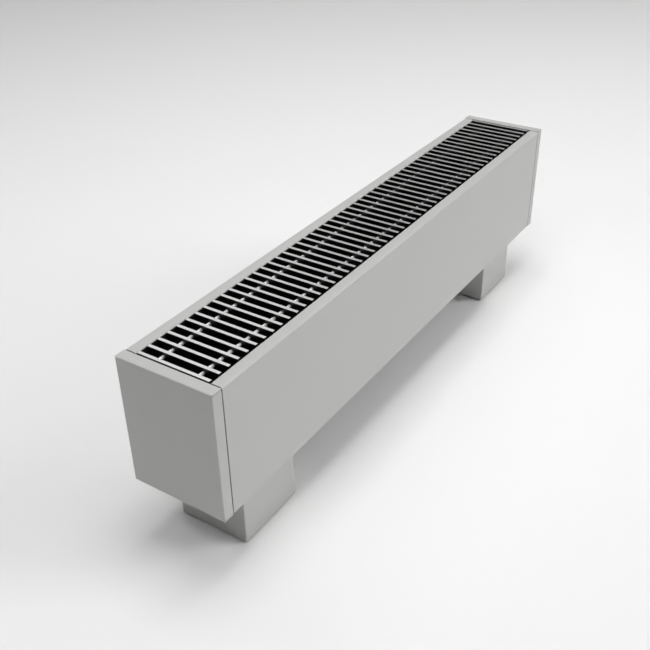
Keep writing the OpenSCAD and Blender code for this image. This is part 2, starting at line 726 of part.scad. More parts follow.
// Section of an extruded bar: top flange, web and bottom flange
module bar_section() {
    top = bar_w / 2;
    web = bar_web_t / 2;
    foot = bar_bottom_w / 2;
    points = [[-top, -bar_edge_r], [-top + bar_edge_r, 0], [top - bar_edge_r, 0], [top, -bar_edge_r],
        [top, -bar_flange_t], [web, -bar_flange_t - bar_edge_r], [web, -bar_h + bar_flange_t],
        [foot, -bar_h + bar_flange_t - bar_edge_r], [foot, -bar_h], [-foot, -bar_h],
        [-foot, -bar_h + bar_flange_t - bar_edge_r], [-web, -bar_h + bar_flange_t],
        [-web, -bar_flange_t - bar_edge_r], [-top, -bar_flange_t]];
    polygon(points);
}
module rod_places() for (s = [-1, 1])
    translate([0, grille_y + s * rod_spacing / 2, rod_z]) children();

module grille_bars() color(aluminium) for (i = [0:bar_count - 1])
    translate([grille_first_x + i * bar_pitch, 0, 0]) difference() {
        translate([0, grille_y, top_z]) along_y(bar_l) bar_section();
        rod_places() rod_x(rod_d + 2 * rod_fit, -bar_w, bar_w);
    }
module grille_rods() color(zinc) rod_places() {
    rod_x(rod_d, grille_first_x - bar_web_t / 2 - rod_head_h, grille_last_x + bar_web_t / 2 + rod_head_h);
    rod_x(rod_head_d, grille_first_x - bar_web_t / 2 - rod_head_h, grille_first_x - bar_web_t / 2);
    rod_x(rod_head_d, grille_last_x + bar_web_t / 2, grille_last_x + bar_web_t / 2 + rod_head_h);
}
module grille_sleeves() color(aluminium) rod_places() for (i = [0:bar_count - 2])
    translate([grille_first_x + i * bar_pitch, 0, 0]) difference() {
        rod_x(sleeve_d, bar_web_t / 2, bar_pitch - bar_web_t / 2);
        rod_x(rod_d + 2 * sleeve_fit, 0, bar_pitch);
    }

// Heating element

module tube_places() for (s = [-1, 1]) translate([0, s * tube_spacing / 2, element_z]) children();

// Sheathed element bent into a hairpin
module element_tube() color(zinc) {
    tube_places() rod_x(tube_d, bend_x, tube_end_x);
    translate([bend_x, 0, element_z]) rotate([0, 0, 90])
        rotate_extrude(angle = 180) translate([tube_spacing / 2, 0]) circle(d = tube_d);
}
module element_fins() color(aluminium) for (i = [0:fin_count - 1])
    translate([fin_first_x + i * fin_pitch, 0, 0]) difference() {
        union() {
            translate([0, 0, element_z]) along_x(fin_t) rounded_plate(2 * fin_half_w, fin_h, fin_corner_r);
            tube_places() rod_x(tube_d + 2 * fin_collar_t, 0, fin_collar_l);
        }
        tube_places() rod_x(tube_d + 2 * fin_fit, -over, fin_collar_l + over);
        translate([0, 0, sensor_z]) rod_x(sensor_d + 2 * sensor_fit, -over, over);
    }

// Bracket whose upright stands at x and whose foot points to the side given
module element_bracket(x, side) {
    upright = [[0, element_rise + bracket_top_edge], [0, 0], [bracket_foot, 0]];
    translate([x, 0, saddle_top]) mirror([side < 0 ? 1 : 0, 0, 0]) difference() {
        along_y(bracket_w) polygon(fold_outline([upright[2], upright[1], upright[0]], bracket_t,
            [bracket_bend_r]));
        for (s = [-1, 1]) {
            translate([0, s * tube_spacing / 2, element_rise])
                rod_x(tube_d + 2 * bracket_fit, -over, bracket_t + over);
            translate([bracket_foot / 2, s * bracket_screw_y, 0])
                hole_z(bracket_screw_d + 2 * screw_hole_gap, -over, bracket_t + over);
        }
    }
}
module element_bracket_left() color(galvanised) element_bracket(bracket_left_x, 1);
module element_bracket_right() color(galvanised) element_bracket(bracket_right_x, -1);

// Pan-head screw that holds a sheet of thickness t to a saddle and reaches down to z0
module saddle_screw(t, z0) rotate_extrude() polygon([[0, z0], [bracket_screw_d / 2, z0],
    [bracket_screw_d / 2, saddle_top + t],
    [bracket_screw_head_d / 2, saddle_top + t], [bracket_screw_head_d / 2, saddle_top + t + bracket_screw_head_h / 2],
    [bracket_screw_head_d / 4, saddle_top + t + bracket_screw_head_h], [0, saddle_top + t + bracket_screw_head_h]]);
module bracket_screws() color(zinc) {
    for (x = [bracket_left_x + bracket_foot / 2, bracket_right_x - bracket_foot / 2], s = [-1, 1])
        translate([x, s * bracket_screw_y, 0]) saddle_screw(bracket_t, casing_z + bracket_screw_clear);
    box_foot_places() saddle_screw(box_t, casing_z - box_screw_past);
}

// Connection box

module element_bushings() color(brass) tube_places() difference() {
    union() {
        translate([box_x0 - bushing_hex_l, 0, 0]) rotate([0, 90, 0]) hex(bushing_hex_af, bushing_hex_l);
        rod_x(bushing_thread_d, box_x0 - bushing_hex_l, box_x0 + box_t + bushing_past);
    }
    rod_x(tube_d + 2 * bushing_fit, box_x0 - bushing_hex_l - over, tube_end_x);
}
module bushing_nuts() color(brass) tube_places() translate([box_x0 + box_t, 0, 0]) rotate([0, 90, 0])
    difference() {
        hex(bushing_hex_af, bushing_nut_l);
        hole_z(bushing_thread_d + 2 * rod_fit, -over, bushing_nut_l + over);
    }
module terminal_insulators() color(ceramic) tube_places() difference() {
    rod_x(insulator_d, tube_end_x, insulator_end_x);
    rod_x(pin_d + 2 * rod_fit, tube_end_x - over, insulator_end_x + over);
}
module terminal_pins() color(brass) tube_places() {
    rod_x(pin_d, tube_end_x, pin_end_x);
    translate([pin_end_x - pin_tab_l / 2, -pin_tab_w / 2, -pin_tab_t / 2])
        cube([pin_tab_l, pin_tab_w, pin_tab_t]);
}

module terminal_box() color(galvanised) {
    foot = [[box_w / 2 + box_foot_w, 0], [box_w / 2, 0], [box_w / 2, box_stand + box_corner_r]];
    difference() {
        union() {
            translate([box_mid_x, 0, box_z0]) open_tray(box_l, box_w, box_h, box_t, box_corner_r);
            mirrored_y() translate([box_foot_x, 0, saddle_top + box_t]) along_x(box_foot_l)
                polygon(fold_outline([for (i = [2:-1:0]) foot[i]], box_t, [bracket_bend_r]));
        }
        tube_places() rod_x(bushing_thread_d + 2 * hole_fit, box_x0 - over, box_x0 + box_t + over);
        translate([0, 0, grommet_z]) rod_x(grommet_neck_d + 2 * rod_fit, box_x0 - over, box_x0 + box_t + over);
        translate([gland_x, 0, 0]) hole_z(gland_d + 2 * hole_fit, box_z0 - over, box_z0 + box_t + over);
        translate([earth_x, earth_y, 0]) hole_z(earth_d + 2 * rod_fit, box_z0 - over, box_z0 + box_t + over);
        mirrored_y() translate([box_mid_x, 0, box_z1 - lid_screw_down]) rotate([-90, 0, 0])
            hole_z(lid_screw_d + 2 * rod_fit, box_w / 2 - box_t - over, box_w / 2 + over);
        box_foot_places() hole_z(bracket_screw_d + 2 * screw_hole_gap, saddle_top - over, saddle_top + box_t + over);
    }
}

module terminal_lid() color(galvanised) difference() {
    l = box_l + 2 * (box_t + lid_fit);
    w = box_w + 2 * (box_t + lid_fit);
    translate([box_mid_x, 0, box_z1 + box_t]) mirror([0, 0, 1])
        open_tray(l, w, lid_lip + box_t, box_t, box_corner_r + box_t + lid_fit);
    translate([cutout_x, 0, 0]) hole_z(cutout_neck_d + 2 * rod_fit, box_z1 - over, box_z1 + box_t + over);
    mirrored_y() translate([box_mid_x, 0, box_z1 - lid_screw_down]) rotate([-90, 0, 0])
        hole_z(lid_screw_d + 2 * rod_fit, box_w / 2, box_w / 2 + box_t + lid_fit + over);
}
module lid_screws() color(zinc) mirrored_y() {
    face = box_w / 2 + box_t + lid_fit;
    translate([box_mid_x, 0, box_z1 - lid_screw_down]) rotate([-90, 0, 0]) {
        hole_z(lid_screw_d, face - lid_screw_l, face);
        hole_z(lid_screw_head_d, face, face + lid_screw_head_h);
    }
}

// Three-pole terminal block
pole_ys = [-block_pole, 0, block_pole];
block_z = box_z0 + box_t;
block_wire_z = block_z + block_base_t + block_entry_d / 2;
module terminal_block() color(ceramic) translate([block_x, 0, 0]) difference() {
    union() {
        translate([0, 0, block_z]) linear_extrude(height = block_h)
            rounded_plate(block_l, block_w, block_wall);
        for (s = [-3, -1, 1, 3]) translate([0, s * block_pole / 2, block_z + block_h]) along_x(block_l)
            translate([0, block_ridge_h / 2]) square([block_ridge_t, block_ridge_h], center = true);
    }
    for (y = pole_ys) translate([0, y, 0]) {
        translate([0, 0, block_wire_z]) rod_x(block_entry_d, -block_l, block_l);
        for (s = [-1, 1]) translate([s * block_l / 4, 0, 0])
            hole_z(block_screw_head_d + 2 * block_screw_gap, block_wire_z, block_z + block_h + over);
    }
}
module clamp_screws() color(zinc) for (y = pole_ys, s = [-1, 1]) translate([block_x + s * block_l / 4, y, 0])
    hole_z(block_screw_d, block_wire_z + lead_d / 2 + lead_end_gap, block_z + block_h - block_screw_down);

module earth_stud() color(brass) translate([earth_x, earth_y, 0]) {
    hole_z(earth_d, box_z0 - earth_washer_t - earth_nut_h, box_z0 + earth_l);
    translate([0, 0, box_z0 - earth_washer_t]) cylinder(d = earth_washer_d, h = earth_washer_t);
    translate([0, 0, box_z0 - earth_washer_t - earth_nut_h]) hex(earth_nut_af, earth_nut_h);
    translate([0, 0, block_z]) cylinder(d = earth_washer_d, h = earth_washer_t);
    translate([0, 0, block_z + earth_washer_t + earth_nut_gap]) hex(earth_nut_af, earth_nut_h);
}

// Cable gland, from its locknut in the box down to its cap
gland_seat_z = box_z0 - gland_hex_l;
gland_end_z = gland_seat_z - gland_neck_l;
module gland_body() color(plastic) translate([gland_x, 0, 0]) difference() {
    union() {
        hole_z(gland_d, gland_end_z, block_z + gland_inside);
        translate([0, 0, gland_seat_z]) hex(gland_hex_af, gland_hex_l);
    }
    hole_z(cable_d + 2 * gland_wall, gland_end_z - over, gland_end_z + gland_seal_l);
    hole_z(cable_d, gland_end_z, block_z + gland_inside + over);
}
module gland_locknut() color(plastic) translate([gland_x, 0, block_z]) difference() {
    hex(gland_hex_af, gland_locknut_l);
    hole_z(gland_d + 2 * rod_fit, -over, gland_locknut_l + over);
}
module gland_seal() color(rubber) translate([gland_x, 0, 0]) difference() {
    hole_z(cable_d + 2 * gland_wall - 2 * gland_fit, gland_end_z, gland_end_z + gland_seal_l);
    hole_z(cable_d, gland_end_z - over, gland_end_z + gland_seal_l + over);
}
module gland_cap() color(plastic) translate([gland_x, 0, 0]) difference() {
    top = gland_seat_z - gland_face_gap;
    bottom = gland_end_z - gland_face_gap - gland_wall;
    union() {
        hole_z(gland_cap_d, bottom + gland_wall, top);
        translate([0, 0, bottom]) cylinder(d1 = gland_cap_d - 2 * gland_wall, d2 = gland_cap_d, h = gland_wall);
    }
    hole_z(gland_d + 2 * gland_fit, gland_end_z - gland_face_gap, top + over);
    hole_z(cable_d, bottom - over, top + over);
}

// Safety cut-out with its reset button

cutout_top = box_z1 - gland_face_gap;
neck_top = box_z1 + box_t + cutout_neck_up;
button_foot_z = cutout_top - button_foot_down - reset_travel - button_foot_t;
module cutout_housing() color(plastic) translate([cutout_x, 0, 0]) difference() {
    union() {
        translate([0, 0, cutout_top - cutout_h]) linear_extrude(height = cutout_h)
            rounded_plate(cutout_l, cutout_w, cutout_r);
        hole_z(cutout_neck_d, cutout_top, neck_top);
        for (s = [-1, 1]) translate([cutout_tab_x, s * cutout_tab_spread, cutout_top - cutout_h - cutout_tab_l])
            translate([-cutout_tab_t / 2, -cutout_tab_w / 2, 0]) cube([cutout_tab_t, cutout_tab_w, cutout_tab_l]);
    }
    hole_z(button_d + 2 * button_fit, button_foot_z, neck_top + over);
    hole_z(button_foot_d + 2 * button_fit, button_foot_z - reset_travel - button_room,
        button_foot_z + button_foot_t + button_fit);
}
module cutout_nut() color(zinc) translate([cutout_x, 0, box_z1 + box_t]) difference() {
    hex(cutout_nut_af, cutout_nut_l);
    hole_z(cutout_neck_d + 2 * rod_fit, -over, cutout_nut_l + over);
}
module reset_button() color([0.75, 0.1, 0.08]) translate([cutout_x, 0, 0]) rotate_extrude() {
    top = neck_top + button_up;
    polygon(concat([[0, button_foot_z], [button_foot_d / 2, button_foot_z],
        [button_foot_d / 2, button_foot_z + button_foot_t], [button_d / 2, button_foot_z + button_foot_t]],
        [for (i = [0:bend_steps]) let (a = 90 * i / bend_steps)
            [button_d / 2 - button_dome_r + button_dome_r * cos(a), top - button_dome_r + button_dome_r * sin(a)]],
        [[0, top]]));
}

// Sensing bulb in the fins' notches, and the capillary from it to the cut-out
sensor_x1 = box_x0 - sensor_left_of_box;
module heat_sensor() color(brass) {
    side_x = cutout_x - cutout_l / 2 - lead_end_gap;
    side_z = cutout_top - cutout_h / 2;
    translate([0, 0, sensor_z]) {
        rod_x(sensor_d, sensor_x1 - sensor_l, sensor_x1);
        translate([sensor_x1 - sensor_l, 0, 0]) sphere(d = sensor_d);
    }
    tube_along([[sensor_x1 - capillary_d, 0, sensor_z], [sensor_x1 + lead_out, 0, sensor_z],
        [box_x0 - lead_out - lead_near, 0, grommet_z], [box_x0 - lead_near, 0, grommet_z],
        [box_x0 + lead_near, 0, grommet_z], [box_x0 + lead_out + lead_near, 0, grommet_z],
        [side_x - lead_out, 0, side_z], [side_x, 0, side_z]], capillary_d);
}
module sensor_grommet() color(rubber) translate([0, 0, grommet_z]) difference() {
    union() {
        rod_x(grommet_neck_d, box_x0 - grommet_lip_t, box_x0 + box_t + grommet_lip_t);
        rod_x(grommet_d, box_x0 - grommet_lip_t, box_x0);
        rod_x(grommet_d, box_x0 + box_t, box_x0 + box_t + grommet_lip_t);
    }
    rod_x(capillary_d + 2 * sensor_fit, box_x0 - grommet_lip_t - over, box_x0 + box_t + grommet_lip_t + over);
}

// Leads inside the connection box

block_right_x = block_x + block_l / 2;
lead_start_x = block_x + block_l / 4;
lead_turn_x = block_right_x + lead_clear;
tab_x = cutout_x + cutout_tab_x;
tab_z = cutout_top - cutout_h - cutout_tab_l - lead_end_gap;
pin_tab_x = pin_end_x + pin_tab_l / 2 + lead_end_gap;
module supply_lead() color("saddlebrown") tube_along([[lead_start_x, -block_pole, block_wire_z],
    [block_right_x, -block_pole, block_wire_z], [lead_turn_x, -block_pole, block_wire_z + lead_clear],
    [lead_turn_x, -block_pole, block_wire_z + lead_low], [tab_x, -cutout_tab_spread, tab_z - lead_out],
    [tab_x, -cutout_tab_spread, tab_z]], lead_d);
module heater_lead() color("saddlebrown") tube_along([[tab_x, cutout_tab_spread, tab_z],
    [tab_x, cutout_tab_spread, tab_z - lead_out],
    [(tab_x + pin_tab_x) / 2, tube_spacing / 2, (tab_z + element_z) / 2],
    [pin_tab_x + lead_out, tube_spacing / 2, element_z], [pin_tab_x, tube_spacing / 2, element_z]], lead_d);
module return_lead() color("steelblue") tube_along([[lead_start_x, 0, block_wire_z],
    [block_right_x, 0, block_wire_z], [lead_turn_x, 0, block_wire_z + lead_clear],
    [lead_turn_x - lead_clear, -tube_spacing / 4, block_wire_z + lead_high],
    [pin_tab_x + 2 * lead_out, -tube_spacing / 2, element_z],
    [pin_tab_x + lead_out, -tube_spacing / 2, element_z], [pin_tab_x, -tube_spacing / 2, element_z]], lead_d);
module earth_lead() color("yellowgreen") tube_along([[lead_start_x, block_pole, block_wire_z],
    [block_right_x, block_pole, block_wire_z], [lead_turn_x, block_pole + lead_out, block_wire_z],
    [block_x, lead_side_y, block_wire_z - lead_out / 2],
    [block_x - block_l / 2, lead_side_y, block_z + earth_washer_t + earth_nut_gap / 2],
    [earth_x + earth_d / 2 + lead_end_gap, earth_y, block_z + earth_washer_t + earth_nut_gap / 2]], lead_d);

front_panel();
rear_panel();
end_cap_left();
end_cap_right();
bulkhead_left();
bulkhead_right();
cap_nuts();
panel_screws();
saddle_left();
saddle_right();
leg_frame_left();
leg_frame_right();
leg_cover_left();
leg_cover_right();
floor_pad_left();
floor_pad_right();
leg_bolts();
leg_nuts();
heat_shield_front();
heat_shield_rear();
shield_rivets();
rest_strip_front();
rest_strip_rear();
grille_bars();
grille_rods();
grille_sleeves();
element_tube();
element_fins();
element_bracket_left();
element_bracket_right();
bracket_screws();
element_bushings();
bushing_nuts();
terminal_insulators();
terminal_pins();
terminal_box();
terminal_lid();
lid_screws();
terminal_block();
clamp_screws();
earth_stud();
gland_body();
gland_locknut();
gland_seal();
gland_cap();
cutout_housing();
cutout_nut();
reset_button();
heat_sensor();
sensor_grommet();
supply_lead();
heater_lead();
return_lead();
earth_lead();
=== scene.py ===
"""Looks, light and camera for the low electric radiator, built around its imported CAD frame."""
import json
import math

import bpy
from mathutils import Matrix, Vector

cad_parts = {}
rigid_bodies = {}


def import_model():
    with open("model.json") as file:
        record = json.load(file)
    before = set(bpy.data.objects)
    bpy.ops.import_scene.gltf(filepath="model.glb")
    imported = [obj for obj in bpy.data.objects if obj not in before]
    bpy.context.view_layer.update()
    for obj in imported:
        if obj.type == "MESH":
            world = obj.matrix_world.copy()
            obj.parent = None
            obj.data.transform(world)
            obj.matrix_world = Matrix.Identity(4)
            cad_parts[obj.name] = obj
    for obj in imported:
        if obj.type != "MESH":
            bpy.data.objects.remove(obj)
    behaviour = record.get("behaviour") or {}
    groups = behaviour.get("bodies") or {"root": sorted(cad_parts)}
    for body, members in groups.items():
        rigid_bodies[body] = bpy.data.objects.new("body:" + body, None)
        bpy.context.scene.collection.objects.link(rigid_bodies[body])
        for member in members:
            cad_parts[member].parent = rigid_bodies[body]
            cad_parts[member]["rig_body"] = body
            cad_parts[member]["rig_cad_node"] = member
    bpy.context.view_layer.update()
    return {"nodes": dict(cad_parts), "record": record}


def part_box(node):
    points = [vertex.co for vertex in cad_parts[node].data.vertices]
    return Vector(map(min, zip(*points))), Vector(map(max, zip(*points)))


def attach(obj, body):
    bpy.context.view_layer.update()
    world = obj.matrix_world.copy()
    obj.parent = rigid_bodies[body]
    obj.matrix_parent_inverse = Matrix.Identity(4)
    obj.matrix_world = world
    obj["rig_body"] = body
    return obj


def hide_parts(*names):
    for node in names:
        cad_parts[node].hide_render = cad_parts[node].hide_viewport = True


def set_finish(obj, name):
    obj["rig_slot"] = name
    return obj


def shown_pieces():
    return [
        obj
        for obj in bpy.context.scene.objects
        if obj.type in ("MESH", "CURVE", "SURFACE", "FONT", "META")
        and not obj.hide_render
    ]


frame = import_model()
NODES = frame["nodes"]
SLOT_OF = {row["node"]: row["material_slot"] for row in frame["record"]["subparts"]}
BODY_OF = {node: obj["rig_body"] for node, obj in NODES.items()}
MM = 0.001


# Tools for the meshes

def deselect():
    bpy.ops.object.select_all(action="DESELECT")


def activate(obj):
    deselect()
    obj.select_set(True)
    bpy.context.view_layer.objects.active = obj


def soften_edges(obj, width, angle, segments=2):
    """Rounds the edges that turn by more than the angle."""
    activate(obj)
    bevel = obj.modifiers.new("edge", "BEVEL")
    bevel.width = width
    bevel.segments = segments
    bevel.limit_method = "ANGLE"
    bevel.angle_limit = math.radians(angle)
    bevel.use_clamp_overlap = True
    bevel.harden_normals = False
    bpy.ops.object.modifier_apply(modifier=bevel.name)


def smooth_by_angle(obj, angle):
    """Smooth shading up to the angle, in which a large flat face keeps its bends from shading it."""
    activate(obj)
    bpy.ops.object.shade_smooth_by_angle(angle=math.radians(angle))
    weight = obj.modifiers.new("flat_faces", "WEIGHTED_NORMAL")
    weight.keep_sharp = True
    bpy.ops.object.modifier_apply(modifier=weight.name)


def loose_boxes(mesh):
    """Lowest and highest corner of each loose part of a merged mesh."""
    parent = list(range(len(mesh.vertices)))

    def root(index):
        while parent[index] != index:
            parent[index] = parent[parent[index]]
            index = parent[index]
        return index

    for edge in mesh.edges:
        parent[root(edge.vertices[0])] = root(edge.vertices[1])
    boxes = {}
    for vertex in mesh.vertices:
        low, high = boxes.setdefault(root(vertex.index), (vertex.co.copy(), vertex.co.copy()))
        for axis in range(3):
            low[axis] = min(low[axis], vertex.co[axis])
            high[axis] = max(high[axis], vertex.co[axis])
    return list(boxes.values())


def cut_drive(obj, axis, side, blade, depth, arms):
    """Cuts a slot, or a cross of two slots, into the head of each screw of a merged copy.

    Heads look along the axis to the given side, or away from the object's middle where side is 0.
    """
    cross = [index for index in range(3) if index != axis]
    for arm in range(arms):
        bars = []
        for low, high in loose_boxes(obj.data):
            middle = (low + high) / 2
            facing = side or (1 if middle[axis] > 0 else -1)
            place = middle.copy()
            place[axis] = high[axis] if facing > 0 else low[axis]
            size = [0, 0, 0]
            size[axis] = 2 * depth
            size[cross[arm]] = blade[0]
            size[cross[1 - arm]] = blade[1]
            deselect()
            bpy.ops.mesh.primitive_cube_add(size=1.0, location=place, scale=size)
            bars.append(bpy.context.object)
        deselect()
        for bar in bars:
            bar.select_set(True)
        bpy.context.view_layer.objects.active = bars[0]
        bpy.ops.object.join()
        cutter = bpy.context.object
        activate(obj)
        cut = obj.modifiers.new("drive", "BOOLEAN")
        cut.operation = "DIFFERENCE"
        cut.solver = "EXACT"
        cut.object = cutter
        bpy.ops.object.modifier_apply(modifier=cut.name)
        bpy.data.objects.remove(cutter)


# Gap over which a copy's loose triangles are merged, and the turn in degrees under which they are flat
MERGE_GAP = 0.002 * MM
FLAT_TURN = 0.3


def finished_copy(node, edge=0.0, edge_angle=40, smooth_angle=32, drive=None):
    """A merged copy of a CAD node with soft edges, which stands for that node."""
    mesh = NODES[node].data.copy()
    obj = bpy.data.objects.new(node + "_finished", mesh)
    bpy.context.scene.collection.objects.link(obj)
    mesh.materials.clear()
    activate(obj)
    bpy.ops.object.mode_set(mode="EDIT")
    bpy.ops.mesh.select_all(action="SELECT")
    bpy.ops.mesh.remove_doubles(threshold=MERGE_GAP)
    bpy.ops.mesh.dissolve_limited(angle_limit=math.radians(FLAT_TURN), delimit={"NORMAL"})
    bpy.ops.object.mode_set(mode="OBJECT")
    if drive:
        cut_drive(obj, *drive)
    if edge:
        soften_edges(obj, edge, edge_angle)
    smooth_by_angle(obj, smooth_angle)
    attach(obj, BODY_OF[node])
    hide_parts(node)
    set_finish(obj, SLOT_OF[node])
    return obj


# Tools for the materials

def level(*levels):
    """Linear colour from levels of 0 to 255 as they look on a screen."""
    linear = []
    for value in levels:
        share = value / 255
        linear.append(share / 12.92 if share <= 0.04045 else ((share + 0.055) / 1.055) ** 2.4)
    return (*linear, 1.0)


def put(tree, kind, settings=None, **inputs):
    """Adds a node with its settings and the values of its inputs."""
    node = tree.nodes.new(kind)
    for name, value in (settings or {}).items():
        setattr(node, name, value)
    for name, value in inputs.items():
        node.inputs[name.replace("_", " ")].default_value = value
    return node


def wire(tree, start, end):
    tree.links.new(start, end)


def effect_group(name, inputs, outputs):
    """An empty shader node group with named inputs and outputs."""
    tree = bpy.data.node_groups.new(name, "ShaderNodeTree")
    for label, kind, value in inputs:
        socket = tree.interface.new_socket(name=label, in_out="INPUT", socket_type=kind)
        socket.default_value = value
    for label, kind in outputs:
        tree.interface.new_socket(name=label, in_out="OUTPUT", socket_type=kind)
    return tree, tree.nodes.new("NodeGroupInput"), tree.nodes.new("NodeGroupOutput")


def use_group(tree, group, **inputs):
    node = tree.nodes.new("ShaderNodeGroup")
    node.node_tree = group
    for name, value in inputs.items():
        node.inputs[name.replace("_", " ")].default_value = value
    return node


FLOAT = "NodeSocketFloat"
VECTOR = "NodeSocketVector"


def make_grain_group():
    """Fine surface grain with a slow mottle, for paint, rubber and moulded plastic."""
    tree, given, out = effect_group(
        "surface_grain",
        [("Vector", VECTOR, (0, 0, 0)), ("Grain Scale", FLOAT, 700.0), ("Mottle Scale", FLOAT, 7.0)],
        [("Height", FLOAT), ("Mottle", FLOAT)],
    )
    grain = put(tree, "ShaderNodeTexNoise", Detail=3.0, Roughness=0.55)
    mottle = put(tree, "ShaderNodeTexNoise", Detail=4.0, Roughness=0.6)
    wire(tree, given.outputs["Vector"], grain.inputs["Vector"])
    wire(tree, given.outputs["Vector"], mottle.inputs["Vector"])
    wire(tree, given.outputs["Grain Scale"], grain.inputs["Scale"])
    wire(tree, given.outputs["Mottle Scale"], mottle.inputs["Scale"])
    wire(tree, grain.outputs["Fac"], out.inputs["Height"])
    wire(tree, mottle.outputs["Fac"], out.inputs["Mottle"])
    return tree


def make_brush_group():
    """Fine lines from rolling, drawing or brushing, along the direction that the stretch leaves long."""
    tree, given, out = effect_group(
        "drawn_lines",
        [("Vector", VECTOR, (0, 0, 0)), ("Stretch", VECTOR, (1, 1, 1))],
        [("Height", FLOAT), ("Streak", FLOAT)],
    )
    stretched = put(tree, "ShaderNodeVectorMath", {"operation": "MULTIPLY"})
    fine = put(tree, "ShaderNodeTexNoise", Scale=1.0, Detail=4.0, Roughness=0.7)
    wide = put(tree, "ShaderNodeTexNoise", Scale=0.12, Detail=2.0, Roughness=0.5)
    wire(tree, given.outputs["Vector"], stretched.inputs[0])
    wire(tree, given.outputs["Stretch"], stretched.inputs[1])
    wire(tree, stretched.outputs["Vector"], fine.inputs["Vector"])
    wire(tree, stretched.outputs["Vector"], wide.inputs["Vector"])
    wire(tree, fine.outputs["Fac"], out.inputs["Height"])
    wire(tree, wide.outputs["Fac"], out.inputs["Streak"])
    return tree


def make_spangle_group():
    """The crystal pattern of hot-dip galvanised sheet."""
    tree, given, out = effect_group(
        "zinc_spangle",
        [("Vector", VECTOR, (0, 0, 0)), ("Scale", FLOAT, 140.0)],
        [("Tone", FLOAT), ("Height", FLOAT)],
    )
    bend = put(tree, "ShaderNodeTexNoise", Scale=60.0, Detail=2.0)
    mixed = put(tree, "ShaderNodeMix", {"data_type": "VECTOR"}, Factor=0.02)
    cells = put(tree, "ShaderNodeTexVoronoi", {"feature": "F1"}, Randomness=1.0)
    split = put(tree, "ShaderNodeSeparateColor")
    wire(tree, given.outputs["Vector"], bend.inputs["Vector"])
    wire(tree, given.outputs["Vector"], mixed.inputs["A"])
    wire(tree, bend.outputs["Color"], mixed.inputs["B"])
    wire(tree, mixed.outputs["Result"], cells.inputs["Vector"])
    wire(tree, given.outputs["Scale"], cells.inputs["Scale"])
    wire(tree, cells.outputs["Color"], split.inputs["Color"])
    wire(tree, split.outputs["Red"], out.inputs["Tone"])
    wire(tree, cells.outputs["Distance"], out.inputs["Height"])
    return tree


GRAIN = make_grain_group()
BRUSH = make_brush_group()
SPANGLE = make_spangle_group()


def new_material(name, metallic=0.0, coat=0.0, specular=0.5):
    """A material with its shader and the object coordinates that its patterns read."""
    material = bpy.data.materials.new(name)
    material.use_nodes = True
    tree = material.node_tree
    shader = tree.nodes["Principled BSDF"]
    shader.inputs["Metallic"].default_value = metallic
    shader.inputs["Coat Weight"].default_value = coat
    shader.inputs["Specular IOR Level"].default_value = specular
    coordinates = tree.nodes.new("ShaderNodeTexCoord")
    return material, tree, shader, coordinates.outputs["Object"]


def colour_between(tree, mask, low, high):
    mix = put(tree, "ShaderNodeMix", {"data_type": "RGBA"})
    mix.inputs["A"].default_value = low
    mix.inputs["B"].default_value = high
    wire(tree, mask, mix.inputs["Factor"])
    return mix.outputs["Result"]


def value_between(tree, mask, low, high):
    ranged = put(tree, "ShaderNodeMapRange", To_Min=low, To_Max=high)
    wire(tree, mask, ranged.inputs["Value"])
    return ranged.outputs["Result"]


def add_bump(tree, shader, height, strength, distance):
    bump = put(tree, "ShaderNodeBump", Strength=strength, Distance=distance)
    wire(tree, height, bump.inputs["Height"])
    wire(tree, bump.outputs["Normal"], shader.inputs["Normal"])


def grained(name, low, high, rough, grain_scale, strength, distance, **shading):
    """Paint, rubber or moulded plastic: two near tones, a fine grain and an uneven sheen."""
    material, tree, shader, place = new_material(name, **shading)
    grain = use_group(tree, GRAIN, Grain_Scale=grain_scale)
    wire(tree, place, grain.inputs["Vector"])
    wire(tree, colour_between(tree, grain.outputs["Mottle"], low, high), shader.inputs["Base Color"])
    wire(tree, value_between(tree, grain.outputs["Mottle"], rough[0], rough[1]), shader.inputs["Roughness"])
    add_bump(tree, shader, grain.outputs["Height"], strength, distance)
    return material


def drawn_metal(name, low, high, rough, stretch, strength=0.15, metallic=1.0):
    """Rolled, drawn or brushed metal with fine lines."""
    material, tree, shader, place = new_material(name, metallic=metallic)
    brush = use_group(tree, BRUSH, Stretch=stretch)
    wire(tree, place, brush.inputs["Vector"])
    wire(tree, colour_between(tree, brush.outputs["Streak"], low, high), shader.inputs["Base Color"])
    wire(tree, value_between(tree, brush.outputs["Height"], rough[0], rough[1]), shader.inputs["Roughness"])
    add_bump(tree, shader, brush.outputs["Height"], strength, 0.02 * MM)
    return material


def galvanised_sheet():
    material, tree, shader, place = new_material("galvanised_sheet", metallic=0.9)
    spangle = use_group(tree, SPANGLE)
    wire(tree, place, spangle.inputs["Vector"])
    tone = spangle.outputs["Tone"]
    wire(tree, colour_between(tree, tone, level(150, 153, 156), level(196, 199, 202)),
        shader.inputs["Base Color"])
    wire(tree, value_between(tree, tone, 0.34, 0.5), shader.inputs["Roughness"])
    add_bump(tree, shader, spangle.outputs["Height"], 0.1, 0.05 * MM)
    return material


# Depth below the bars' top faces down to which they are bright aluminium, and from which they carry painted
# shade: a near-black colour that stands in for the shade between the bars
BAR_BRIGHT_ABOVE = 0.1 * MM
BAR_PAINTED_SHADE_BELOW = 0.2 * MM


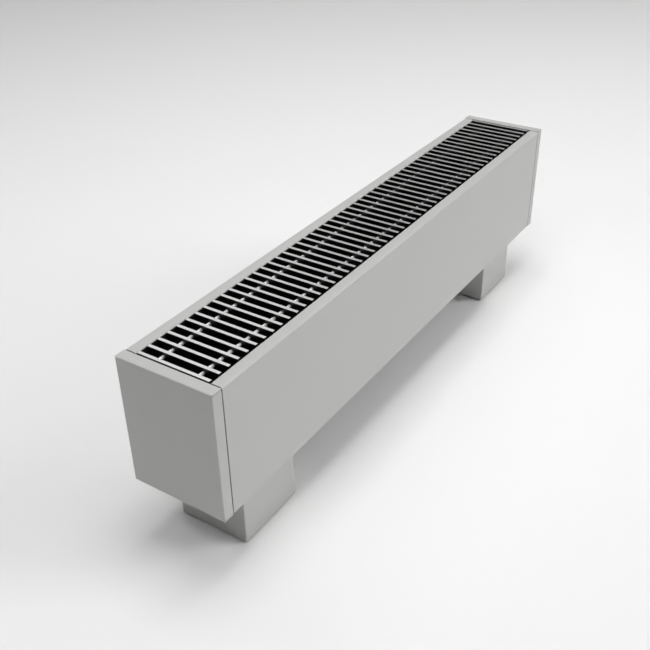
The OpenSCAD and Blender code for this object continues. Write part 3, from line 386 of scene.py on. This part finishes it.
def grille_bar_metal_painted_shade():
    """Satin aluminium on the bars' top faces, and painted shade, a near-black non-metal colour, on
    everything below their edge.
    """
    material, tree, shader, place = new_material("grille_bar_metal_painted_shade")
    brush = use_group(tree, BRUSH, Stretch=(2500.0, 60.0, 2500.0))
    wire(tree, place, brush.inputs["Vector"])
    split = put(tree, "ShaderNodeSeparateXYZ")
    wire(tree, place, split.inputs["Vector"])
    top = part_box("grille_bars")[1].z
    edge = put(tree, "ShaderNodeMapRange", From_Min=top - BAR_PAINTED_SHADE_BELOW, From_Max=top - BAR_BRIGHT_ABOVE)
    wire(tree, split.outputs["Z"], edge.inputs["Value"])
    bright = colour_between(tree, brush.outputs["Streak"], level(222, 222, 221), level(240, 240, 239))
    mix = put(tree, "ShaderNodeMix", {"data_type": "RGBA"})
    # Painted shade: below the top edge the bars' sides are coloured near-black for the shade between the
    # bars
    mix.inputs["A"].default_value = level(14, 14, 14)
    wire(tree, bright, mix.inputs["B"])
    wire(tree, edge.outputs["Result"], mix.inputs["Factor"])
    wire(tree, mix.outputs["Result"], shader.inputs["Base Color"])
    wire(tree, edge.outputs["Result"], shader.inputs["Metallic"])
    wire(tree, value_between(tree, brush.outputs["Height"], 0.3, 0.44), shader.inputs["Roughness"])
    add_bump(tree, shader, brush.outputs["Height"], 0.12, 0.02 * MM)
    return material


def element_steel():
    """Stainless tube with the straw and blue tints that heat leaves on it."""
    material, tree, shader, place = new_material("element_steel", metallic=1.0)
    brush = use_group(tree, BRUSH, Stretch=(30.0, 1500.0, 1500.0))
    grain = use_group(tree, GRAIN, Grain_Scale=900.0, Mottle_Scale=14.0)
    wire(tree, place, brush.inputs["Vector"])
    wire(tree, place, grain.inputs["Vector"])
    tint = put(tree, "ShaderNodeValToRGB")
    ramp = tint.color_ramp
    ramp.elements[0].position = 0.35
    ramp.elements[0].color = level(170, 168, 164)
    ramp.elements[1].position = 0.7
    ramp.elements[1].color = level(120, 128, 150)
    middle = ramp.elements.new(0.52)
    middle.color = level(176, 150, 108)
    wire(tree, grain.outputs["Mottle"], tint.inputs["Fac"])
    wire(tree, tint.outputs["Color"], shader.inputs["Base Color"])
    wire(tree, value_between(tree, brush.outputs["Height"], 0.28, 0.42), shader.inputs["Roughness"])
    add_bump(tree, shader, brush.outputs["Height"], 0.1, 0.02 * MM)
    return material


def two_tone_lead():
    """Green insulation with a yellow stripe, as an earth lead has."""
    material, tree, shader, place = new_material("earth_insulation")
    wave = put(tree, "ShaderNodeTexWave", {"wave_type": "BANDS", "bands_direction": "DIAGONAL"},
        Scale=120.0, Distortion=0.0)
    wire(tree, place, wave.inputs["Vector"])
    stripe = put(tree, "ShaderNodeMath", {"operation": "GREATER_THAN"})
    stripe.inputs[1].default_value = 0.5
    wire(tree, wave.outputs["Fac"], stripe.inputs[0])
    wire(tree, colour_between(tree, stripe.outputs["Value"], level(52, 120, 46), level(224, 200, 38)),
        shader.inputs["Base Color"])
    grain = use_group(tree, GRAIN, Grain_Scale=1500.0)
    wire(tree, place, grain.inputs["Vector"])
    wire(tree, value_between(tree, grain.outputs["Mottle"], 0.38, 0.5), shader.inputs["Roughness"])
    add_bump(tree, shader, grain.outputs["Height"], 0.1, 0.05 * MM)
    return material


def make_finishes():
    """One material for each of the record's slots."""
    return {
        "painted_sheet": grained("grey_powder_coat", level(189, 189, 187), level(192, 192, 190),
            (0.4, 0.48), 900.0, 0.12, 0.06 * MM, specular=0.4),
        "galvanised_sheet": galvanised_sheet(),
        # Inner sheets: a black coat made as dark as the shade inside the casing, partly their own coat and
        # partly painted shade
        "black_sheet": grained("black_coat_and_painted_shade", level(20, 20, 20), level(30, 30, 30),
            (0.5, 0.62), 1200.0, 0.2, 0.06 * MM),
        "grille_aluminium": grille_bar_metal_painted_shade(),
        "fin_aluminium": drawn_metal("fin_aluminium", level(196, 198, 200), level(224, 225, 227),
            (0.28, 0.42), (40.0, 1500.0, 40.0)),
        "zinc_steel": drawn_metal("zinc_plated_steel", level(176, 179, 184), level(206, 208, 212),
            (0.26, 0.4), (900.0, 900.0, 900.0)),
        "element_steel": element_steel(),
        "rubber": grained("black_rubber", level(26, 26, 27), level(36, 36, 37),
            (0.7, 0.85), 1600.0, 0.35, 0.1 * MM, specular=0.3),
        "brass": drawn_metal("turned_brass", level(190, 156, 84), level(222, 190, 116),
            (0.24, 0.36), (1200.0, 200.0, 200.0)),
        "ceramic": grained("glazed_ceramic", level(226, 222, 208), level(236, 232, 220),
            (0.22, 0.3), 800.0, 0.08, 0.06 * MM, coat=0.3),
        "dark_plastic": grained("dark_moulded_plastic", level(38, 38, 40), level(48, 48, 50),
            (0.45, 0.58), 1500.0, 0.25, 0.06 * MM),
        "red_plastic": grained("red_moulded_plastic", level(182, 30, 24), level(196, 38, 30),
            (0.32, 0.42), 1500.0, 0.12, 0.05 * MM),
        "brown_insulation": grained("brown_insulation", level(98, 58, 36), level(112, 68, 42),
            (0.4, 0.52), 1500.0, 0.15, 0.05 * MM),
        "blue_insulation": grained("blue_insulation", level(44, 84, 156), level(52, 96, 172),
            (0.4, 0.52), 1500.0, 0.15, 0.05 * MM),
        "green_yellow_insulation": two_tone_lead(),
        "copper": drawn_metal("drawn_copper", level(186, 112, 78), level(214, 140, 102),
            (0.26, 0.4), (60.0, 1500.0, 1500.0)),
    }


FINISHES = make_finishes()


def finish_all():
    """Gives every shown piece the finish of its slot."""
    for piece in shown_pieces():
        slot = piece.get("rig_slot") or SLOT_OF.get(piece.get("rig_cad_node"))
        if slot is None or piece.get("own_finish"):
            continue
        piece.data.materials.clear()
        piece.data.materials.append(FINISHES[slot])


# Pieces

# Width of the soft edges
CASING_EDGE = 0.22 * MM
LEG_EDGE = 0.6 * MM
PAD_EDGE = 0.3 * MM
HEX_EDGE = 0.25 * MM
MOULDED_EDGE = 0.3 * MM
HOUSING_EDGE = 0.25 * MM
BAR_EDGE = 0.12 * MM

# Least turn, in degrees, of an edge that is softened, and on the bars
CORNER_TURN = 50
BAR_TURN = 25

# Length and width of the blades that fit the screws' drives, and the drives' depths
CROSS_BLADE = (3.2 * MM, 0.7 * MM)
SMALL_CROSS_BLADE = (2.6 * MM, 0.6 * MM)
SLOT_BLADE = (4.2 * MM, 0.8 * MM)
DEEP_DRIVE = 1.2 * MM
DRIVE = 1.0 * MM
CROSS_ARMS = 2
SLOT_ARMS = 1
Y_AXIS = 1
Z_AXIS = 2


def dress_sheet_metal():
    """Painted and plain sheet pieces, with the small round that a cut and coated edge has."""
    for node in ("front_panel", "rear_panel", "end_cap_left", "end_cap_right"):
        finished_copy(node, edge=CASING_EDGE, edge_angle=CORNER_TURN)
    for node in ("leg_cover_left", "leg_cover_right"):
        finished_copy(node, edge=LEG_EDGE, edge_angle=CORNER_TURN)
    for node in ("floor_pad_left", "floor_pad_right"):
        finished_copy(node, edge=PAD_EDGE, edge_angle=CORNER_TURN)
    for node in ("terminal_box", "terminal_lid", "saddle_left", "saddle_right", "leg_frame_left",
            "leg_frame_right", "bulkhead_left", "bulkhead_right", "element_bracket_left",
            "element_bracket_right", "heat_shield_front", "heat_shield_rear"):
        finished_copy(node)


def dress_round_pieces():
    """Turned, drawn and moulded pieces, smooth round their curves."""
    for node in ("grille_rods", "element_tube", "element_bushings", "bushing_nuts",
            "terminal_insulators", "terminal_pins", "earth_stud", "gland_body", "gland_locknut",
            "gland_seal", "gland_cap", "cutout_nut", "reset_button", "sensor_grommet", "heat_sensor",
            "shield_rivets"):
        finished_copy(node)
    for node in ("cap_nuts", "leg_bolts", "leg_nuts"):
        finished_copy(node, edge=HEX_EDGE, edge_angle=CORNER_TURN)
    finished_copy("bracket_screws", drive=(Z_AXIS, 1, CROSS_BLADE, DEEP_DRIVE, CROSS_ARMS))
    finished_copy("panel_screws", drive=(Z_AXIS, -1, CROSS_BLADE, DRIVE, CROSS_ARMS))
    finished_copy("lid_screws", drive=(Y_AXIS, 0, SMALL_CROSS_BLADE, DRIVE, CROSS_ARMS))
    finished_copy("clamp_screws", drive=(Z_AXIS, 1, SLOT_BLADE, DEEP_DRIVE, SLOT_ARMS))
    for node in ("supply_lead", "heater_lead", "return_lead", "earth_lead"):
        finished_copy(node, smooth_angle=60)
    finished_copy("terminal_block", edge=MOULDED_EDGE, edge_angle=CORNER_TURN)
    finished_copy("cutout_housing", edge=HOUSING_EDGE, edge_angle=CORNER_TURN)


def dress_grille():
    finished_copy("grille_bars", edge=BAR_EDGE, edge_angle=BAR_TURN)
    sleeves = finished_copy("grille_sleeves")
    sleeves["own_finish"] = True
    sleeves.data.materials.append(grained("pale_sleeve", level(244, 244, 244), level(251, 251, 251),
        (0.3, 0.4), 1500.0, 0.1, 0.05 * MM))


dress_sheet_metal()
dress_round_pieces()
dress_grille()
finish_all()


# Studio

def studio_surface(name, colour, rough):
    material, tree, shader, place = new_material(name, specular=0.2)
    grain = use_group(tree, GRAIN, Grain_Scale=300.0, Mottle_Scale=2.0)
    wire(tree, place, grain.inputs["Vector"])
    shader.inputs["Base Color"].default_value = colour
    wire(tree, value_between(tree, grain.outputs["Mottle"], rough - 0.05, rough + 0.05),
        shader.inputs["Roughness"])
    return material


FLOOR_WIDTH = 10.0
FLOOR_COLOUR = level(250, 250, 250)
FLOOR_ROUGHNESS = 0.8


def make_floor():
    bpy.ops.mesh.primitive_plane_add(size=FLOOR_WIDTH, location=(0, 0, 0))
    floor = bpy.context.object
    floor.name = "studio_floor"
    floor.data.materials.append(studio_surface("studio_floor", FLOOR_COLOUR, FLOOR_ROUGHNESS))


def area_light(name, place, target, size, power):
    lamp = bpy.data.lights.new(name, "AREA")
    lamp.shape = "SQUARE"
    lamp.size = size
    lamp.energy = power
    obj = bpy.data.objects.new(name, lamp)
    bpy.context.scene.collection.objects.link(obj)
    obj.visible_camera = False
    obj.location = place
    direction = Vector(target) - Vector(place)
    obj.rotation_euler = direction.to_track_quat("-Z", "Y").to_euler()
    return obj


# Strength of the pale room round the floor: as light on the object, as the backdrop, and as what a
# sheen shows of it
ROOM_LIGHT = 0.02
BACKDROP = 0.85
ROOM_SHEEN = 0.19


def make_world():
    world = bpy.data.worlds.new("studio_world")
    bpy.context.scene.world = world
    world.use_nodes = True
    tree = world.node_tree
    background = tree.nodes["Background"]
    background.inputs["Color"].default_value = (1, 1, 1, 1)
    rays = tree.nodes.new("ShaderNodeLightPath")
    sheen = put(tree, "ShaderNodeMix", {"data_type": "FLOAT"})
    sheen.inputs["A"].default_value = ROOM_LIGHT
    sheen.inputs["B"].default_value = ROOM_SHEEN
    wire(tree, rays.outputs["Is Glossy Ray"], sheen.inputs["Factor"])
    seen = put(tree, "ShaderNodeMath", {"operation": "MAXIMUM"})
    wire(tree, rays.outputs["Is Camera Ray"], seen.inputs[0])
    wire(tree, rays.outputs["Is Transmission Ray"], seen.inputs[1])
    backdrop = put(tree, "ShaderNodeMix", {"data_type": "FLOAT"})
    backdrop.inputs["B"].default_value = BACKDROP
    wire(tree, sheen.outputs["Result"], backdrop.inputs["A"])
    wire(tree, seen.outputs["Value"], backdrop.inputs["Factor"])
    wire(tree, backdrop.outputs["Result"], background.inputs["Strength"])


# The camera that was fitted to the photo's edges, in metres, degrees and millimetres of lens
CAMERA_PLACE = (-1.1083, -0.6404, 0.9174)
CAMERA_AZIMUTH = -56.2634
CAMERA_ELEVATION = 32.5932
CAMERA_ROLL = -1.1014
CAMERA_LENS = 49.62
CAMERA_SENSOR = 36.0
CAMERA_NEAR = 0.01


def make_camera():
    azimuth = math.radians(CAMERA_AZIMUTH)
    elevation = math.radians(CAMERA_ELEVATION)
    roll = math.radians(CAMERA_ROLL)
    back = Vector((math.sin(azimuth) * math.cos(elevation), -math.cos(azimuth) * math.cos(elevation),
        math.sin(elevation)))
    level_right = Vector((math.cos(azimuth), math.sin(azimuth), 0))
    level_up = back.cross(level_right)
    right = math.cos(roll) * level_right + math.sin(roll) * level_up
    up = math.cos(roll) * level_up - math.sin(roll) * level_right
    data = bpy.data.cameras.new("camera")
    data.sensor_width = CAMERA_SENSOR
    data.lens = CAMERA_LENS
    data.clip_start = CAMERA_NEAR
    camera = bpy.data.objects.new("camera", data)
    bpy.context.scene.collection.objects.link(camera)
    turn = Matrix((right, up, back)).transposed().to_4x4()
    camera.matrix_world = Matrix.Translation(CAMERA_PLACE) @ turn
    bpy.context.scene.camera = camera


# Soft lamps: name, place, what they point at, size in metres and power in watts
OBJECT_MIDDLE = (0, 0, 0.1)
LAMPS = (
    ("overhead_softbox", (0, 0, 9), OBJECT_MIDDLE, 9, 223),
    ("overhead_lamp", (0, 0, 3), OBJECT_MIDDLE, 1.2, 24),
    ("key_light", (5, -8, 8), OBJECT_MIDDLE, 4, 222),
    ("low_key_light", (7, -10, 4.4), OBJECT_MIDDLE, 5, 470),
    ("left_lamp", (-3, 0, 4.5), OBJECT_MIDDLE, 2.0, 39),
    ("right_lamp", (1.6, -0.3, 2.2), (0.3, 0, 0.3), 0.8, 6),
    ("front_lamp", (0.5, -5, 9), OBJECT_MIDDLE, 3, 60),
    ("rear_lamp", (0.5, 2.4, 4.2), OBJECT_MIDDLE, 1.5, 13),
    ("rear_fill", (6, 6, 7), OBJECT_MIDDLE, 4, 48),
)

make_floor()
make_world()
for name, place, target, size, power in LAMPS:
    area_light(name, place, target, size, power)
make_camera()
bpy.context.scene.view_settings.view_transform = "Standard"
